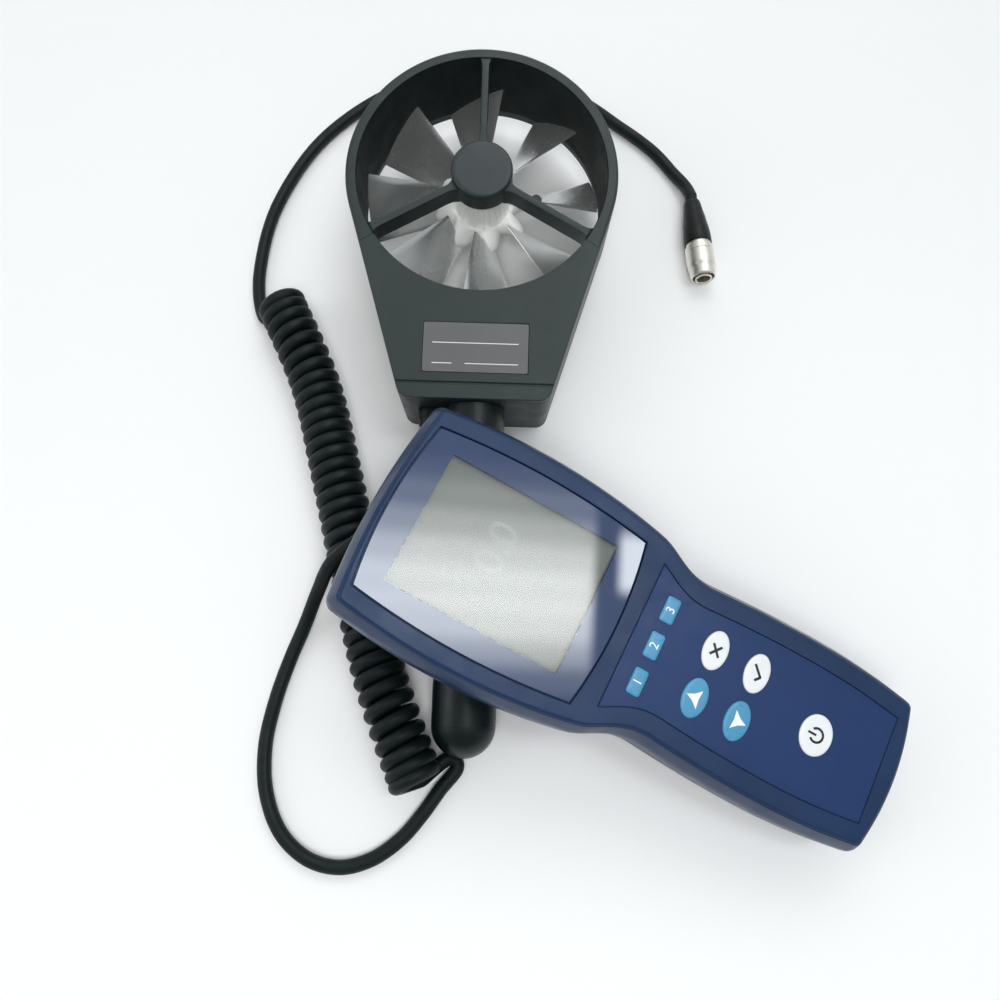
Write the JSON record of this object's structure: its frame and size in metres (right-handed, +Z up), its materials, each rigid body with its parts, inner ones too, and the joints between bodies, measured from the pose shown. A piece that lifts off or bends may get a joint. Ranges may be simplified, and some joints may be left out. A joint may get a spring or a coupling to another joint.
{
  "type": "vane anemometer",
  "caption": "Vane anemometer: duct-shaped rotor head on a straight handle, with a coiled lead, a plug and a hand-held display unit.",
  "frame": {"origin": "centre of the duct's rear mouth", "axes": "+Z up from the table, +Y along the handle towards the top of the ring, +X to the right seen from above"},
  "size_m": [0.2608, 0.3584, 0.0715],
  "materials": {
    "head_plastic": "fine grain",
    "steel": "turned",
    "sensor_plastic": "moulded",
    "circuit_board": "solder mask",
    "label": "satin",
    "handle_plastic": "satin",
    "lead_rubber": "matte",
    "nickel": "satin nickel plate",
    "gold_contacts": "gold plated",
    "rotor_plastic": "moulded",
    "blade_aluminium": "rolled, bright",
    "case_plastic": "fine grain",
    "lens_acrylic": "clear with a printed border",
    "display": "reflective",
    "overlay": "satin film",
    "dome_foil": "film",
    "cell_wrap": "printed wrap",
    "blue_key": "satin",
    "white_key": "satin"
  },
  "bodies": {
    "probe": {"rear_housing": "head_plastic", "front_cover": "head_plastic", "ring_grille": "head_plastic", "hub_cap": "head_plastic", "shaft_bearings": "steel", "bearing_spacer": "steel", "pickup_sensor": "sensor_plastic", "sensor_board": "circuit_board", "label_plate": "label", "head_screws": "steel", "handle_grip": "handle_plastic", "handle_dome": "handle_plastic", "handle_bolt": "steel", "cable_boot": "lead_rubber", "coiled_cable": "lead_rubber", "plug_boot": "lead_rubber", "plug_body": "nickel", "plug_insert": "sensor_plastic", "plug_pins": "gold_contacts"},
    "rotor": {"rotor_hub": "rotor_plastic", "rotor_blades": "blade_aluminium", "rotor_shaft": "steel", "shaft_collar": "steel", "shaft_clip": "steel"},
    "plug_ring": {"plug_sleeve": "nickel"},
    "door": {"battery_door": "case_plastic"},
    "button_one": {"key_one": "blue_key"},
    "button_two": {"key_two": "blue_key"},
    "button_three": {"key_three": "blue_key"},
    "button_escape": {"key_escape": "white_key"},
    "button_enter": {"key_enter": "white_key"},
    "button_left": {"key_left": "blue_key"},
    "button_right": {"key_right": "blue_key"},
    "button_power": {"key_power": "white_key"},
    "display_unit": {"case_front": "case_plastic", "case_back": "case_plastic", "display_lens": "lens_acrylic", "display_module": "display", "keypad_overlay": "overlay", "dome_sheet": "dome_foil", "main_board": "circuit_board", "battery_cells": "cell_wrap", "battery_contacts": "nickel", "case_screws": "steel", "probe_socket": "nickel", "socket_insert": "sensor_plastic", "socket_nut": "nickel"}
  },
  "joints": [
    {"name": "rotor_spin", "type": "hinge", "parent": "probe", "child": "rotor", "pos_m": [0, 0, 0], "axis": [0, -0.1139, 0.9935], "continuous": true},
    {"name": "plug_unlatch", "type": "slide", "parent": "probe", "child": "plug_ring", "axis": [0.1045, -0.9945, 0], "range_m": [-0.0012, 0]},
    {"name": "unit_lift", "type": "slide", "parent": "probe", "child": "display_unit", "axis": [0, 0, 1], "range_m": [0, 0.1]},
    {"name": "door_slide", "type": "slide", "parent": "display_unit", "child": "door", "axis": [0.8851, -0.4222, -0.1959], "range_m": [0, 0.03]},
    {"name": "press_one", "type": "slide", "parent": "display_unit", "child": "button_one", "axis": [-0.1769, 0.0844, -0.9806], "range_m": [0, 0.0008]},
    {"name": "press_two", "type": "slide", "parent": "display_unit", "child": "button_two", "axis": [-0.1769, 0.0844, -0.9806], "range_m": [0, 0.0008]},
    {"name": "press_three", "type": "slide", "parent": "display_unit", "child": "button_three", "axis": [-0.1769, 0.0844, -0.9806], "range_m": [0, 0.0008]},
    {"name": "press_escape", "type": "slide", "parent": "display_unit", "child": "button_escape", "axis": [-0.1769, 0.0844, -0.9806], "range_m": [0, 0.0008]},
    {"name": "press_enter", "type": "slide", "parent": "display_unit", "child": "button_enter", "axis": [-0.1769, 0.0844, -0.9806], "range_m": [0, 0.0008]},
    {"name": "press_left", "type": "slide", "parent": "display_unit", "child": "button_left", "axis": [-0.1769, 0.0844, -0.9806], "range_m": [0, 0.0008]},
    {"name": "press_right", "type": "slide", "parent": "display_unit", "child": "button_right", "axis": [-0.1769, 0.0844, -0.9806], "range_m": [0, 0.0008]},
    {"name": "press_power", "type": "slide", "parent": "display_unit", "child": "button_power", "axis": [-0.1769, 0.0844, -0.9806], "range_m": [0, 0.0008]}
  ]
}
